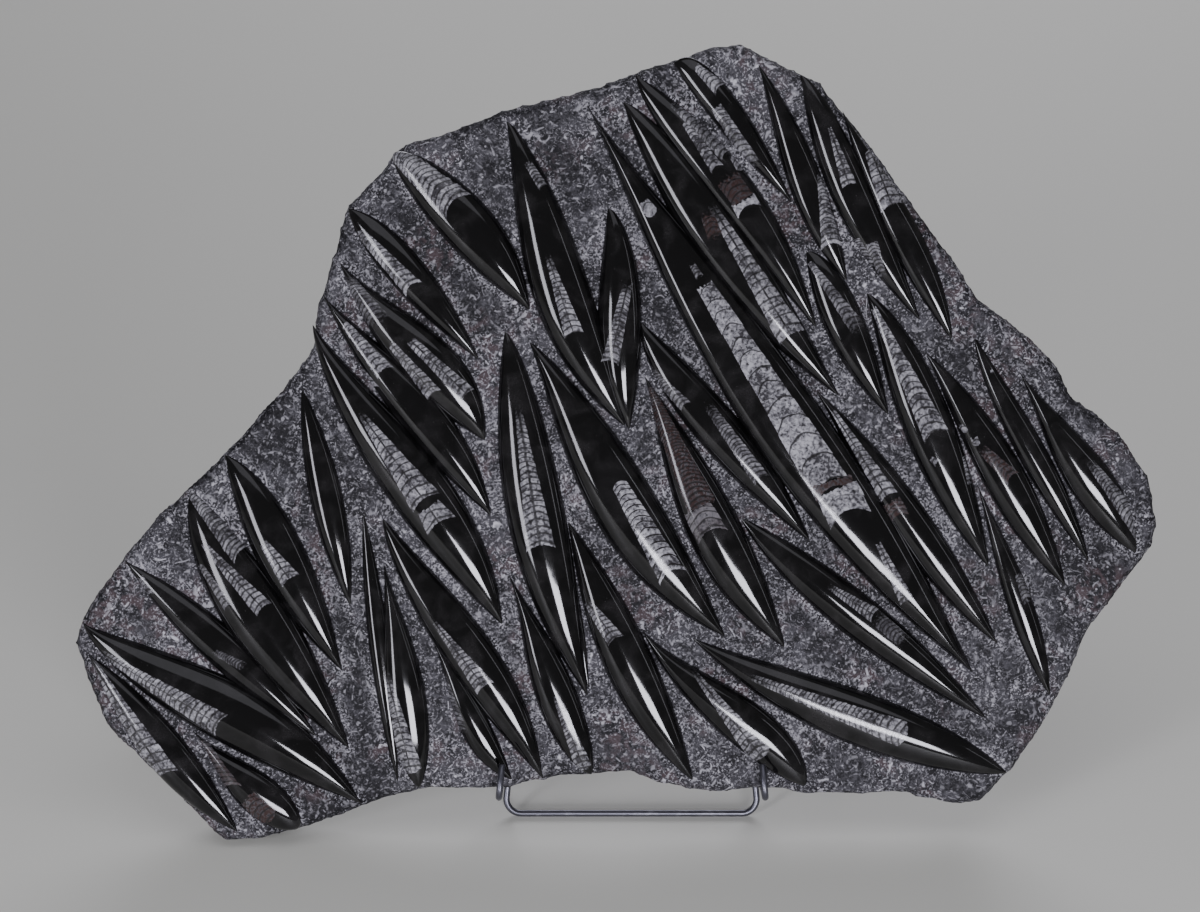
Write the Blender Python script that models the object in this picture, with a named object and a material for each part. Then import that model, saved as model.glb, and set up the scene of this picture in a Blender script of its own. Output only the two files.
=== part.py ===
"""Orthoceras fossil plate leaning on an easel of bent wire.

The plate is one slab of dark limestone. Long polished ridges stand out of its
rough ground, each one shaped around a fossil shell. The easel is four pieces of
black steel wire: a front loop, two hooks and a back leg.

Metres, +Z up. The origin is on the surface that the easel stands on, in the
middle of the whole object, and the plate faces -Y.
"""

import math
from dataclasses import dataclass

import bmesh
import bpy
from mathutils import Vector

MM = 0.001

# The plate. Places on it are in millimetres, across from its left end and down
# from its top, as seen from the front.
LEAN = math.radians(25.0)  # how far the plate leans back from upright
THICKNESS = 32.0 * MM  # from the rough ground to the flat back
RIM_CHAMFER = 5.0 * MM  # worn front edge
BACK_TAPER = 12.0 * MM  # how far the back edge is drawn in from the rim
MIDDLE_ACROSS = 337.5  # the easel's middle, on the plate's scale
BAR_DOWN = 471.0  # the easel's bottom bar, on the plate's scale

# The ridges
CREST_PER_WIDTH = 0.30  # a ridge's height above the ground for its width
CREST_LIMIT = 13.0 * MM
CREST_POINT = 0.7  # the crest line rises faster than the edges spread
RIDGE_SINK = 1.2 * MM  # how deep a ridge's widest line lies below the ground
RIDGE_STATIONS = 12
RIDGE_SIDES = 10
OVERHANG = 0.4 * MM  # what a ridge may stand out past the rim

# The easel
WIRE_RADIUS = 2.0 * MM
CONTACT_GAP = 0.3 * MM
BAR_LENGTH = 155.0 * MM  # between the middles of the rising sides
FRAME_HEIGHT = 285.0 * MM  # along its own slope
FRAME_TOP_WIDTH = 96.0 * MM
BOTTOM_BEND = 9.0 * MM  # radius of the loop's lower corners
TOP_BEND = 40.0 * MM
ARM_HEIGHT = 17.2 * MM  # the hooks' arms above the bottom bar, along the slope
HOOK_WELD = 26.0 * MM  # length of hook that runs up the frame's side
HOOK_BEND = 6.0 * MM
HOOK_REACH = 46.0 * MM  # from the frame's side to the prong
PRONG_HEIGHT = 21.0 * MM
LEG_WIDTH_AT_FOOT = 200.0 * MM
LEG_SPREAD = 78.0 * MM  # how far the foot stands behind the loop's top
LEG_WELD_BELOW_TOP = 34.0 * MM
LEG_BEND = 18.0 * MM
BEND_STEPS = 5
HALF_FLAT = math.radians(22.5)  # half the turn from one flat of the eight-sided wire to the next

# The plate's rim, clockwise from its upper left (across, down)
RIM = [
    (194, 67), (206, 60), (234, 53), (258, 42), (289, 35), (316, 28), (342, 18), (360, 13),
    (378, 6), (402, 2), (429, 16), (450, 26), (462, 41), (473, 54), (494, 83), (519, 116),
    (531, 133), (545, 154), (573, 175), (593, 195), (600, 212), (615, 222), (630, 235),
    (648, 261), (653, 288), (651, 303), (630, 331), (613, 354), (603, 377), (590, 406),
    (569, 438), (549, 459), (534, 461), (500, 454), (462, 455), (440, 455), (428, 451.5),
    (408, 451.5), (390, 454), (351, 448), (337, 441), (318, 443), (294, 444), (272, 448),
    (264, 451.5), (246, 451.5), (216, 451), (189, 457), (165, 466), (138, 476), (115, 482),
    (91, 484), (78, 471), (60, 452), (42, 435), (19, 411), (6, 375), (1, 362), (8, 341),
    (31, 309), (52, 285), (91, 248), (128, 208), (146, 183), (148, 160), (158, 129),
    (167, 98), (189, 77),
]


@dataclass(frozen=True)
class Ridge:
    """A polished ridge: its two tips on the plate and how far each side bulges, in mm."""

    upper: tuple
    lower: tuple
    right: float  # bulge of the upper right edge from the line between the tips
    left: float  # bulge of the lower left edge
    right_peak: float = 0.5  # where the right edge is widest, from the upper tip
    left_peak: float = 0.5
    upper_point: float = 1.0  # 1 is a sharp tip, 0.5 a round one
    lower_point: float = 1.0


RIDGES = [
    Ridge((196, 68), (277, 162), 21, 11, 0.5, 0.45, upper_point=0.6),
    Ridge((169, 101), (247, 192), 13, 10, 0.4, 0.4),
    Ridge((163, 132), (250, 240), 20, 14, 0.65, 0.5),
    Ridge((153, 152), (254, 286), 17, 10, 0.6, 0.5),
    Ridge((147, 170), (260, 351), 20, 18, 0.62, 0.45),
    Ridge((140, 206), (169, 341), 10, 10),
    Ridge((94, 248), (164, 379), 16, 14, 0.4, 0.5),
    Ridge((74, 268), (168, 426), 13, 26, 0.5, 0.42),
    Ridge((33, 311), (149, 419), 13, 11),
    Ridge((8, 349), (175, 459), 22, 17, 0.58, 0.4),
    Ridge((10, 367), (101, 477), 11, 15, 0.5, 0.55),
    Ridge((56, 407), (94, 474), 4, 5),
    Ridge((72, 413), (137, 473), 11, 15, 0.7, 0.65, lower_point=0.6),
    Ridge((176, 278), (197, 450), 6, 7),
    Ridge((188, 309), (209, 449), 13, 12, 0.62, 0.65, lower_point=0.7),
    Ridge((188, 284), (284, 444), 17, 14, 0.6, 0.42),
    Ridge((217, 359), (266, 445), 6, 13, 0.5, 0.65),
    Ridge((263, 318), (313, 441), 11, 14, 0.6, 0.65, lower_point=0.7),
    Ridge((261, 172), (311, 394), 12, 24, 0.4, 0.52),
    Ridge((295, 293), (312, 394), 4, 3),
    Ridge((275, 179), (394, 358), 13, 27, 0.45, 0.58),
    Ridge((262, 48), (334, 232), 12, 24, 0.4, 0.58),
    Ridge((322, 99), (336, 234), 15, 13, 0.38, 0.6),
    Ridge((342, 167), (445, 301), 11, 17, 0.55, 0.4),
    Ridge((344, 199), (430, 365), 11, 22, 0.55, 0.58),
    Ridge((401, 284), (552, 408), 12, 15, 0.5, 0.45),
    Ridge((343, 353), (442, 448), 17, 13, 0.7, 0.5, lower_point=0.7),
    Ridge((372, 357), (563, 440), 12, 22, 0.65, 0.5, lower_point=0.8),
    Ridge((298, 286), (375, 446), 11, 19, 0.5, 0.55),
    Ridge((310, 39), (543, 380), 14, 31, 0.6, 0.55),
    Ridge((331, 37), (462, 214), 14, 19, 0.4, 0.5),
    Ridge((340, 22), (448, 174), 20, 8, 0.5, 0.3),
    Ridge((362, 15), (433, 98), 15, 5, 0.28, 0.5, upper_point=0.7),
    Ridge((411, 14), (466, 146), 10, 11, 0.5, 0.6),
    Ridge((437, 22), (510, 169), 9, 16, 0.35, 0.5),
    Ridge((462, 43), (529, 181), 11, 9, 0.6, 0.5),
    Ridge((440, 126), (491, 225), 14, 11, 0.35, 0.5),
    Ridge((476, 150), (552, 317), 17, 14, 0.42, 0.55),
    Ridge((511, 185), (598, 328), 15, 11, 0.5, 0.6),
    Ridge((541, 175), (612, 314), 8, 10, 0.6, 0.42),
    Ridge((567, 196), (646, 310), 14, 13, 0.65, 0.6),
    Ridge((543, 263), (592, 401), 9, 7, 0.6, 0.6),
    Ridge((445, 207), (558, 363), 12, 12, 0.5, 0.6),
    Ridge((479, 288), (534, 369), 5, 11, 0.5, 0.45),
]


def make_collection(name):
    """Add a collection to the scene."""
    collection = bpy.data.collections.new(name)
    bpy.context.scene.collection.children.link(collection)
    return collection


def make_material(name, colour, roughness, metallic):
    """A plain Principled material."""
    material = bpy.data.materials.new(name)
    material.use_nodes = True
    shader = material.node_tree.nodes["Principled BSDF"]
    shader.inputs["Base Color"].default_value = (*colour, 1.0)
    shader.inputs["Roughness"].default_value = roughness
    shader.inputs["Metallic"].default_value = metallic
    return material


def on_plate(across, down):
    """A place on the plate, as metres right of and above the middle of the easel's bar."""
    return Vector(((across - MIDDLE_ACROSS) * MM, (BAR_DOWN - down) * MM))


def mesh_object(bm, name, collection, parent):
    """Turn a bmesh into an object in a collection."""
    mesh = bpy.data.meshes.new(name)
    bmesh.ops.recalc_face_normals(bm, faces=bm.faces)
    bm.to_mesh(mesh)
    bm.free()
    obj = bpy.data.objects.new(name, mesh)
    obj.parent = parent
    collection.objects.link(obj)
    return obj


def back_level():
    """Height of the plate's flat back above the plane of the easel's front loop."""
    return WIRE_RADIUS + CONTACT_GAP


def ground_level():
    """Height of the plate's rough ground above the plane of the easel's front loop."""
    return back_level() + THICKNESS


def outline_block(top, bottom):
    """A block with the plate's outline; returns it with its front and back faces."""
    bm = bmesh.new()
    bmesh.ops.create_circle(bm, cap_ends=True, segments=len(RIM), radius=1.0)
    bm.verts.ensure_lookup_table()
    for vert, (across, down) in zip(bm.verts, reversed(RIM)):
        vert.co = (*on_plate(across, down), top)
    front = bm.faces[:][0]
    made = bmesh.ops.extrude_face_region(bm, geom=[front])["geom"]
    for item in made:
        if isinstance(item, bmesh.types.BMVert):
            item.co.z = bottom
    back = next(item for item in made if isinstance(item, bmesh.types.BMFace))
    bmesh.ops.recalc_face_normals(bm, faces=bm.faces)
    return bm, front, back


def draw_in(face, distance):
    """Move a flat face's corners inwards, square to its outline."""
    corners = [loop.vert for loop in face.loops]
    places = [corner.co.copy() for corner in corners]
    for index, corner in enumerate(corners):
        before = places[index] - places[index - 1]
        after = places[(index + 1) % len(places)] - places[index]
        along = (before.normalized() + after.normalized()).normalized()
        corner.co += face.normal.cross(along) * distance


def slab(name, collection, parent):
    """The bare slab: a worn front edge, and sides that draw in towards the flat back."""
    bm, front, back = outline_block(ground_level() - RIM_CHAMFER, back_level())
    bmesh.ops.inset_region(bm, faces=[front], thickness=RIM_CHAMFER, use_even_offset=True)
    for vert in front.verts:
        vert.co.z = ground_level()
    draw_in(back, BACK_TAPER)
    return mesh_object(bm, name, collection, parent)


def rim_prism(name, collection, parent):
    """A tall block a little larger than the plate, which trims the ridges' tips."""
    top = ground_level() + 2.0 * CREST_LIMIT
    bottom = back_level() - CREST_LIMIT
    bm, front, back = outline_block(top, bottom)
    draw_in(front, -OVERHANG)
    draw_in(back, -OVERHANG)
    return mesh_object(bm, name, collection, parent)


def edge_bulge(ridge, along, peak):
    """How far out an edge is, from 0 at the tips to 1 at its peak."""
    shifted = along ** (math.log(0.5) / math.log(peak))
    point = ridge.upper_point + (ridge.lower_point - ridge.upper_point) * along
    return max(4.0 * shifted * (1.0 - shifted), 0.0) ** point


def shape_ridge(bm, ridge):
    """Bend a unit sphere, poles at the tips, into a ridge with its own two edges."""
    upper = on_plate(*ridge.upper)
    chord = on_plate(*ridge.lower) - upper
    to_right = Vector((-chord.y, chord.x)).normalized()
    crest = min(CREST_PER_WIDTH * (ridge.right + ridge.left) * MM, CREST_LIMIT)
    for vert in bm.verts:
        along = 0.5 - 0.5 * vert.co.z
        ring = math.sqrt(max(1.0 - vert.co.z ** 2, 1e-12))
        right = ridge.right * MM * edge_bulge(ridge, along, ridge.right_peak)
        left = ridge.left * MM * edge_bulge(ridge, along, ridge.left_peak)
        side = (right - left) / 2.0 + (right + left) / 2.0 * vert.co.x / ring
        tall = (crest + RIDGE_SINK) * edge_bulge(ridge, along, 0.5) ** CREST_POINT
        place = upper + chord * along + to_right * side
        height = ground_level() - RIDGE_SINK + tall * vert.co.y / ring
        vert.co = (place.x, place.y, height)


def ridge_solid(ridge, name, collection, parent):
    """A closed spindle for one ridge, half sunk in the slab."""
    bm = bmesh.new()
    bmesh.ops.create_uvsphere(bm, u_segments=RIDGE_SIDES, v_segments=RIDGE_STATIONS, radius=1.0)
    shape_ridge(bm, ridge)
    return mesh_object(bm, name, collection, parent)


def boolean(obj, name, operation):
    """Add an exact Boolean modifier."""
    modifier = obj.modifiers.new(name, "BOOLEAN")
    modifier.operation = operation
    modifier.solver = "EXACT"
    return modifier


def hide_tool(obj):
    """Mark a solid that only shapes another one."""
    obj.hide_render = True
    obj.display_type = "WIRE"


def fossil_plate(parts, tools, parent, stone):
    """The slab with its ridges fused to it and trimmed at the rim."""
    plate = slab("fossil_plate", parts, parent)
    for index, ridge in enumerate(RIDGES, start=1):
        hide_tool(ridge_solid(ridge, f"ridge_{index:02d}", tools, parent))
    fuse = boolean(plate, "fuse ridges", "UNION")
    fuse.operand_type = "COLLECTION"
    fuse.collection = tools
    trimmer = rim_prism("rim_prism", bpy.context.scene.collection, parent)
    hide_tool(trimmer)
    boolean(plate, "trim tips", "INTERSECT").object = trimmer
    plate.data.materials.append(stone)


def bend(corner, before, after, radius):
    """Points on the arc that rounds one corner of a wire."""
    to_before = (before - corner).normalized()
    to_after = (after - corner).normalized()
    half = to_before.angle(to_after) / 2.0
    middle = corner + (to_before + to_after).normalized() * radius / math.sin(half)
    start = corner + to_before * radius / math.tan(half) - middle
    end = corner + to_after * radius / math.tan(half) - middle
    sweep = math.pi - 2.0 * half
    points = []
    for step in range(BEND_STEPS + 1):
        share = step / BEND_STEPS
        turned = start * math.sin((1.0 - share) * sweep) + end * math.sin(share * sweep)
        points.append(middle + turned / math.sin(sweep))
    return points


def bent_route(corners, closed):
    """A wire's route from its corners, each a place and the radius of its bend."""
    route = []
    for index, (corner, radius) in enumerate(corners):
        is_end = not closed and index in (0, len(corners) - 1)
        if is_end:
            route.append(corner)
            continue
        before = corners[index - 1][0]
        after = corners[(index + 1) % len(corners)][0]
        route.extend(bend(corner, before, after, radius))
    return route


def wire(name, corners, collection, parent, material, closed=False, roll=0.0):
    """A bent steel wire; its roll turns the flats round its middle line."""
    curve = bpy.data.curves.new(name, "CURVE")
    curve.dimensions = "3D"
    curve.twist_mode = "Z_UP"
    curve.bevel_depth = WIRE_RADIUS
    curve.bevel_resolution = 2
    curve.use_fill_caps = True
    route = bent_route(corners, closed)
    spline = curve.splines.new("POLY")
    spline.points.add(len(route) - 1)
    for point, place in zip(spline.points, route):
        point.co = (*place, 1.0)
        point.tilt = roll
    spline.use_cyclic_u = closed
    curve.materials.append(material)
    obj = bpy.data.objects.new(name, curve)
    obj.parent = parent
    collection.objects.link(obj)
    return obj


def side_offset(height):
    """Half the front loop's width at a height along its slope."""
    narrowing = (BAR_LENGTH - FRAME_TOP_WIDTH) / 2.0
    return BAR_LENGTH / 2.0 - narrowing * height / FRAME_HEIGHT


def front_frame(parts, parent, steel):
    """The easel's front loop: bottom bar, two rising sides and a round top."""
    corners = [
        (Vector((-BAR_LENGTH / 2.0, 0.0, 0.0)), BOTTOM_BEND),
        (Vector((BAR_LENGTH / 2.0, 0.0, 0.0)), BOTTOM_BEND),
        (Vector((FRAME_TOP_WIDTH / 2.0, FRAME_HEIGHT, 0.0)), TOP_BEND),
        (Vector((-FRAME_TOP_WIDTH / 2.0, FRAME_HEIGHT, 0.0)), TOP_BEND),
    ]
    wire("front_frame", corners, parts, parent, steel, closed=True, roll=LEAN - HALF_FLAT)


def hook(name, side, parts, parent, steel):
    """A hook: up the frame's outer side, forward under the plate, and up in front of it."""
    beside = 2.0 * WIRE_RADIUS + CONTACT_GAP

    def place(height, forward):
        return Vector((side * (side_offset(height) + beside), height, forward))

    corners = [
        (place(ARM_HEIGHT + HOOK_WELD, 0.0), 0.0),
        (place(ARM_HEIGHT, 0.0), HOOK_BEND),
        (place(ARM_HEIGHT, HOOK_REACH), HOOK_BEND),
        (place(ARM_HEIGHT + PRONG_HEIGHT, HOOK_REACH), 0.0),
    ]
    wire(name, corners, parts, parent, steel)


def slope_to_level(place):
    """A place in the front loop's leaning plane, seen from the level surface below it."""
    return Vector((
        place.x,
        place.y * math.sin(LEAN) - place.z * math.cos(LEAN),
        WIRE_RADIUS + place.y * math.cos(LEAN) + place.z * math.sin(LEAN),
    ))


def back_leg(parts, parent, steel):
    """The rear U of wire, welded behind the front loop's sides near its top."""
    weld_height = FRAME_HEIGHT - LEG_WELD_BELOW_TOP
    behind = -(2.0 * WIRE_RADIUS + CONTACT_GAP)
    weld = slope_to_level(Vector((side_offset(weld_height), weld_height, behind)))
    foot = Vector((LEG_WIDTH_AT_FOOT / 2.0, weld.y + LEG_SPREAD, WIRE_RADIUS))
    mirror = Vector((-1.0, 1.0, 1.0))
    corners = [(weld, 0.0), (foot, LEG_BEND), (foot * mirror, LEG_BEND), (weld * mirror, 0.0)]
    wire("back_leg", corners, parts, parent, steel, roll=HALF_FLAT)


def empty(name, parent=None):
    """An empty that carries other objects."""
    obj = bpy.data.objects.new(name, None)
    obj.parent = parent
    bpy.context.scene.collection.objects.link(obj)
    return obj


def stand_on_origin(root, parts):
    """Move the whole object so that it stands on z = 0 with its middle over the origin."""
    bpy.context.view_layer.update()
    depsgraph = bpy.context.evaluated_depsgraph_get()
    corners = []
    for obj in parts.objects:
        shown = obj.evaluated_get(depsgraph)
        mesh = shown.to_mesh()
        corners.extend(shown.matrix_world @ vert.co for vert in mesh.vertices)
        shown.to_mesh_clear()
    low = [min(corner[axis] for corner in corners) for axis in range(3)]
    high = [max(corner[axis] for corner in corners) for axis in range(3)]
    root.location = (-(low[0] + high[0]) / 2.0, -(low[1] + high[1]) / 2.0, -low[2])


def main():
    """Build the plate and its easel."""
    for obj in list(bpy.data.objects):
        bpy.data.objects.remove(obj, do_unlink=True)
    parts = make_collection("orthoceras fossil plate")
    tools = make_collection("ridge solids")
    stone = make_material("black limestone", (0.045, 0.043, 0.042), 0.35, 0.0)
    steel = make_material("black steel", (0.03, 0.03, 0.032), 0.32, 0.9)
    root = empty("object_origin")
    slope = empty("leaning_plane", root)
    slope.location = (0.0, 0.0, WIRE_RADIUS)
    slope.rotation_euler = (math.radians(90.0) - LEAN, 0.0, 0.0)
    fossil_plate(parts, tools, slope, stone)
    front_frame(parts, slope, steel)
    hook("left_hook", -1.0, parts, slope, steel)
    hook("right_hook", 1.0, parts, slope, steel)
    back_leg(parts, root, steel)
    stand_on_origin(root, parts)


main()
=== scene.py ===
"""Looks of the orthoceras plate: rough limestone, polished ridges with pale shells, wire easel."""

import logging
import math
from collections.abc import Callable
from dataclasses import dataclass
from enum import Enum
from functools import cached_property

import bmesh
import bpy
from mathutils import Matrix, Vector, noise


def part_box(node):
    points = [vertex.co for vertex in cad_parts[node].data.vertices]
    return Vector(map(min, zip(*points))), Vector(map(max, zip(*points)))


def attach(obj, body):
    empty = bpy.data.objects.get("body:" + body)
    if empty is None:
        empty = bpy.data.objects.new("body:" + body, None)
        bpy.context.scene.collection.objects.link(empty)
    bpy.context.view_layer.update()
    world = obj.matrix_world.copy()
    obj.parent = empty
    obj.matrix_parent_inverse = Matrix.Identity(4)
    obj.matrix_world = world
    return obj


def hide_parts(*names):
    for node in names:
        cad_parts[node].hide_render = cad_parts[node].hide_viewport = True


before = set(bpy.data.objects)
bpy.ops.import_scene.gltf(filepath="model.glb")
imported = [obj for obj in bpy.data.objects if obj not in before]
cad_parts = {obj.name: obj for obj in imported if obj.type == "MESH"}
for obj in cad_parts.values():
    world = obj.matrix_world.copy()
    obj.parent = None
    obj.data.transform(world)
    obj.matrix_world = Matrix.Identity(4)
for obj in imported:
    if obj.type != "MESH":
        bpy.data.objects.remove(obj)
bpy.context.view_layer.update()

MM = 0.001
LOG = logging.getLogger("orthoceras_plate")

Place = tuple[float, float]
Colour = tuple[float, float, float]


# ---- shader maths


def math_method(operation: str, turned: bool = False) -> Callable[..., "Signal"]:
    """Make a method that puts a Math node on a signal.

    Args:
        operation: what the node does.
        turned: whether the two values change places.

    Returns:
        The method.
    """

    def method(self: "Signal", *others: object) -> "Signal":
        """The node's result."""
        values = (self, *others)
        return self.board.math(operation, *(values[::-1] if turned else values))

    return method


class Signal:
    """A shader socket that Python expressions can add, scale and compare."""

    __add__ = __radd__ = math_method("ADD")
    __sub__ = math_method("SUBTRACT")
    __rsub__ = math_method("SUBTRACT", turned=True)
    __mul__ = __rmul__ = math_method("MULTIPLY")
    __truediv__ = math_method("DIVIDE")
    __rtruediv__ = math_method("DIVIDE", turned=True)
    __abs__ = math_method("ABSOLUTE")
    fraction = math_method("FRACT")  # the part after the point
    floor = math_method("FLOOR")  # the whole part
    least = math_method("MINIMUM")  # the smaller of two
    most = math_method("MAXIMUM")  # the larger of two

    def __init__(self, board: "Board", socket: bpy.types.NodeSocket) -> None:
        """Wrap a socket.

        Args:
            board: the material's node board.
            socket: the output that carries the value.
        """
        self.board = board
        self.socket = socket

    def clamp(self) -> "Signal":
        """Held between 0 and 1."""
        return self.board.signal("ShaderNodeClamp", {}, {0: self})

    def step(self, low: float, high: float) -> "Signal":
        """A smooth rise from 0 at the low value to 1 at the high one."""
        settings = {"interpolation_type": "SMOOTHSTEP"}
        return self.board.signal("ShaderNodeMapRange", settings, {0: self, 1: low, 2: high})


class Board:
    """The node board of one material, with a Principled shader on it."""

    def __init__(self, name: str) -> None:
        """Start a material.

        Args:
            name: the material's name.
        """
        self.material = bpy.data.materials.new(name)
        self.material.use_nodes = True
        self.tree = self.material.node_tree
        self.shader = self.tree.nodes["Principled BSDF"]
        self.place = self.node("ShaderNodeTexCoord", {}, {}).outputs["Object"]

    def node(self, kind: str, settings: dict, inputs: dict) -> bpy.types.Node:
        """Add a node.

        Args:
            kind: the node's type.
            settings: its properties, set first.
            inputs: values or links for its sockets, by name or number.

        Returns:
            The new node.
        """
        node = self.tree.nodes.new(kind)
        for key, value in settings.items():
            setattr(node, key, value)
        for key, value in inputs.items():
            self.feed(node.inputs[key], value)
        return node

    def feed(self, socket: bpy.types.NodeSocket, value: object) -> None:
        """Give a socket a number, a colour or a link.

        Args:
            socket: the input.
            value: a number, a tuple, a Signal or an output socket.
        """
        if isinstance(value, Signal):
            self.tree.links.new(value.socket, socket)
        elif isinstance(value, bpy.types.NodeSocket):
            self.tree.links.new(value, socket)
        elif isinstance(value, tuple) and len(value) == 3 and socket.type == "RGBA":
            socket.default_value = (*value, 1.0)
        else:
            socket.default_value = value

    def signal(self, kind: str, settings: dict, inputs: dict, output: int | str = 0) -> Signal:
        """Add a node and take one of its outputs."""
        return Signal(self, self.node(kind, settings, inputs).outputs[output])

    def math(self, operation: str, *values: object) -> Signal:
        """A Math node on these values."""
        return self.signal("ShaderNodeMath", {"operation": operation}, dict(enumerate(values)))

    def dot(self, vector: object, along: tuple) -> Signal:
        """How far a vector reaches along a fixed direction."""
        settings = {"operation": "DOT_PRODUCT"}
        return self.signal("ShaderNodeVectorMath", settings, {0: vector, 1: along}, "Value")

    def moved(self, shift: tuple) -> bpy.types.NodeSocket:
        """Object coordinates, shifted."""
        settings = {"operation": "ADD"}
        return self.node("ShaderNodeVectorMath", settings, {0: self.place, 1: shift}).outputs[0]

    def noise(
        self, scale: float, detail: float = 2.0, place: object = None, warp: float = 0.0
    ) -> Signal:
        """Soft noise between 0 and 1.

        Args:
            scale: features to a metre.
            detail: how many finer layers it has.
            place: coordinates, or None for the object's own.
            warp: how far it is twisted.

        Returns:
            The noise.
        """
        inputs = {"Vector": place or self.place, "Scale": scale, "Detail": detail}
        return self.signal("ShaderNodeTexNoise", {}, {**inputs, "Distortion": warp})

    def cells(self, scale: float) -> Signal:
        """Distance to the nearest of many scattered points."""
        inputs = {"Vector": self.place, "Scale": scale}
        return self.signal("ShaderNodeTexVoronoi", {}, inputs, "Distance")

    def flat_vector(self, first: object, second: object) -> bpy.types.NodeSocket:
        """Two values as one vector."""
        return self.node("ShaderNodeCombineXYZ", {}, {0: first, 1: second}).outputs[0]

    def hashed(self, value: Signal, seed: float) -> Signal:
        """A random number for each whole number."""
        inputs = {"Vector": self.flat_vector(value, seed)}
        return self.signal("ShaderNodeTexWhiteNoise", {"noise_dimensions": "2D"}, inputs)

    def blend(self, share: object, first: object, second: object) -> bpy.types.NodeSocket:
        """Mix two colours.

        Args:
            share: how much of the second shows.
            first: a colour or a colour socket.
            second: a colour or a colour socket.

        Returns:
            The mixed colour's socket.
        """
        node = self.node("ShaderNodeMix", {"data_type": "RGBA"}, {})
        self.feed(node.inputs[0], share)
        self.feed(node.inputs[6], first)
        self.feed(node.inputs[7], second)
        return node.outputs[2]

    def finish(self, colour: object, roughness: object, **fixed: float) -> bpy.types.Material:
        """Set the shader.

        Args:
            colour: base colour, or its socket.
            roughness: a number or a Signal.
            fixed: other sockets by name, with _ for a space, as plain numbers.

        Returns:
            The material.
        """
        self.feed(self.shader.inputs["Base Color"], colour)
        self.feed(self.shader.inputs["Roughness"], roughness)
        for name, value in fixed.items():
            self.shader.inputs[name.replace("_", " ")].default_value = value
        return self.material

    def bump(self, height: Signal, depth: float, strength: float) -> None:
        """Let a height stand out of the surface.

        Args:
            height: 0 to 1.
            depth: metres that 1 stands above 0.
            strength: how much of it shows.
        """
        inputs = {"Height": height, "Distance": depth, "Strength": strength}
        self.feed(self.shader.inputs["Normal"], self.signal("ShaderNodeBump", {}, inputs))


# ---- the plate's own frame


@dataclass(frozen=True)
class PlateFrame:
    """Places on the leaning plate: across from its left end, down from its top, in millimetres."""

    lean: float = math.radians(25.0)
    thickness: float = 32.0 * MM
    wire_radius: float = 2.0 * MM
    contact_gap: float = 0.3 * MM
    middle_across: float = 337.5
    bar_down: float = 471.0
    half_flat: float = math.radians(22.5)  # the solid wire has eight sides, one of them down

    @cached_property
    def bar(self) -> Vector:
        """The middle of the easel's bottom bar.

        Returns:
            A place in the room.
        """
        low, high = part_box("front_frame")
        reach = self.wire_radius * math.cos(self.half_flat)
        return Vector(((low.x + high.x) / 2.0, low.y + reach, low.z + reach))

    @property
    def right(self) -> Vector:
        """Along the plate, to the right."""
        return Vector((1.0, 0.0, 0.0))

    @property
    def up(self) -> Vector:
        """Up the plate's slope."""
        return Vector((0.0, math.sin(self.lean), math.cos(self.lean)))

    @property
    def out(self) -> Vector:
        """Square out of the plate's face."""
        return Vector((0.0, -math.cos(self.lean), math.sin(self.lean)))

    @property
    def back(self) -> float:
        """Height of the flat back above the easel's front loop."""
        return self.wire_radius + self.contact_gap

    @property
    def ground(self) -> float:
        """Height of the rough ground above the easel's front loop."""
        return self.back + self.thickness

    def flat(self, across: float, down: float) -> Vector:
        """A place on the plate as metres right and up from the bar."""
        return Vector(((across - self.middle_across) * MM, (self.bar_down - down) * MM))

    def spot(self, place: Vector) -> Place:
        """A place in the leaning plane's frame as millimetres across and down."""
        return self.middle_across + place.x / MM, self.bar_down - place.y / MM

    def lift(self, x: float, y: float, z: float) -> Vector:
        """A place in the leaning plane as a place in the room."""
        return self.bar + self.right * x + self.up * y + self.out * z

    def settle(self, piece: bpy.types.Object) -> None:
        """Turn a mesh that lies in the leaning plane's own frame into its place in the room.

        Args:
            piece: the object whose mesh is turned.
        """
        turn = Matrix((self.right, self.up, self.out)).transposed().to_4x4()
        bm = bmesh.new()
        bm.from_mesh(piece.data)
        bmesh.ops.transform(bm, matrix=Matrix.Translation(self.bar) @ turn, verts=bm.verts)
        bm.to_mesh(piece.data)
        bm.free()
        piece.data.shade_smooth()


PLATE = PlateFrame()


def put_in_scene(obj: bpy.types.Object) -> bpy.types.Object:
    """Link an object to the scene."""
    bpy.context.scene.collection.objects.link(obj)
    return obj


def add_mesh(
    bm: bmesh.types.BMesh, name: str, material: bpy.types.Material, smooth: bool = True
) -> bpy.types.Object:
    """Make an object from a bmesh.

    Args:
        bm: the finished shape, freed here.
        name: the piece's name.
        material: its finish.
        smooth: whether its faces are shaded smooth.

    Returns:
        The new object.
    """
    mesh = bpy.data.meshes.new(name)
    bmesh.ops.recalc_face_normals(bm, faces=bm.faces)
    if bm.calc_volume(signed=True) < 0.0:
        bmesh.ops.reverse_faces(bm, faces=bm.faces)
    bm.to_mesh(mesh)
    bm.free()
    mesh.materials.append(material)
    if smooth:
        mesh.shade_smooth()
    return put_in_scene(bpy.data.objects.new(name, mesh))


# ---- what lies in the stone


class Tip(Enum):
    """How a shell's section ends."""

    FADE = "fades into the black stone"
    CUP = "hollow, where the living chamber began"
    ROUND = "rounded"
    BREAK = "broken off square"


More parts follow.
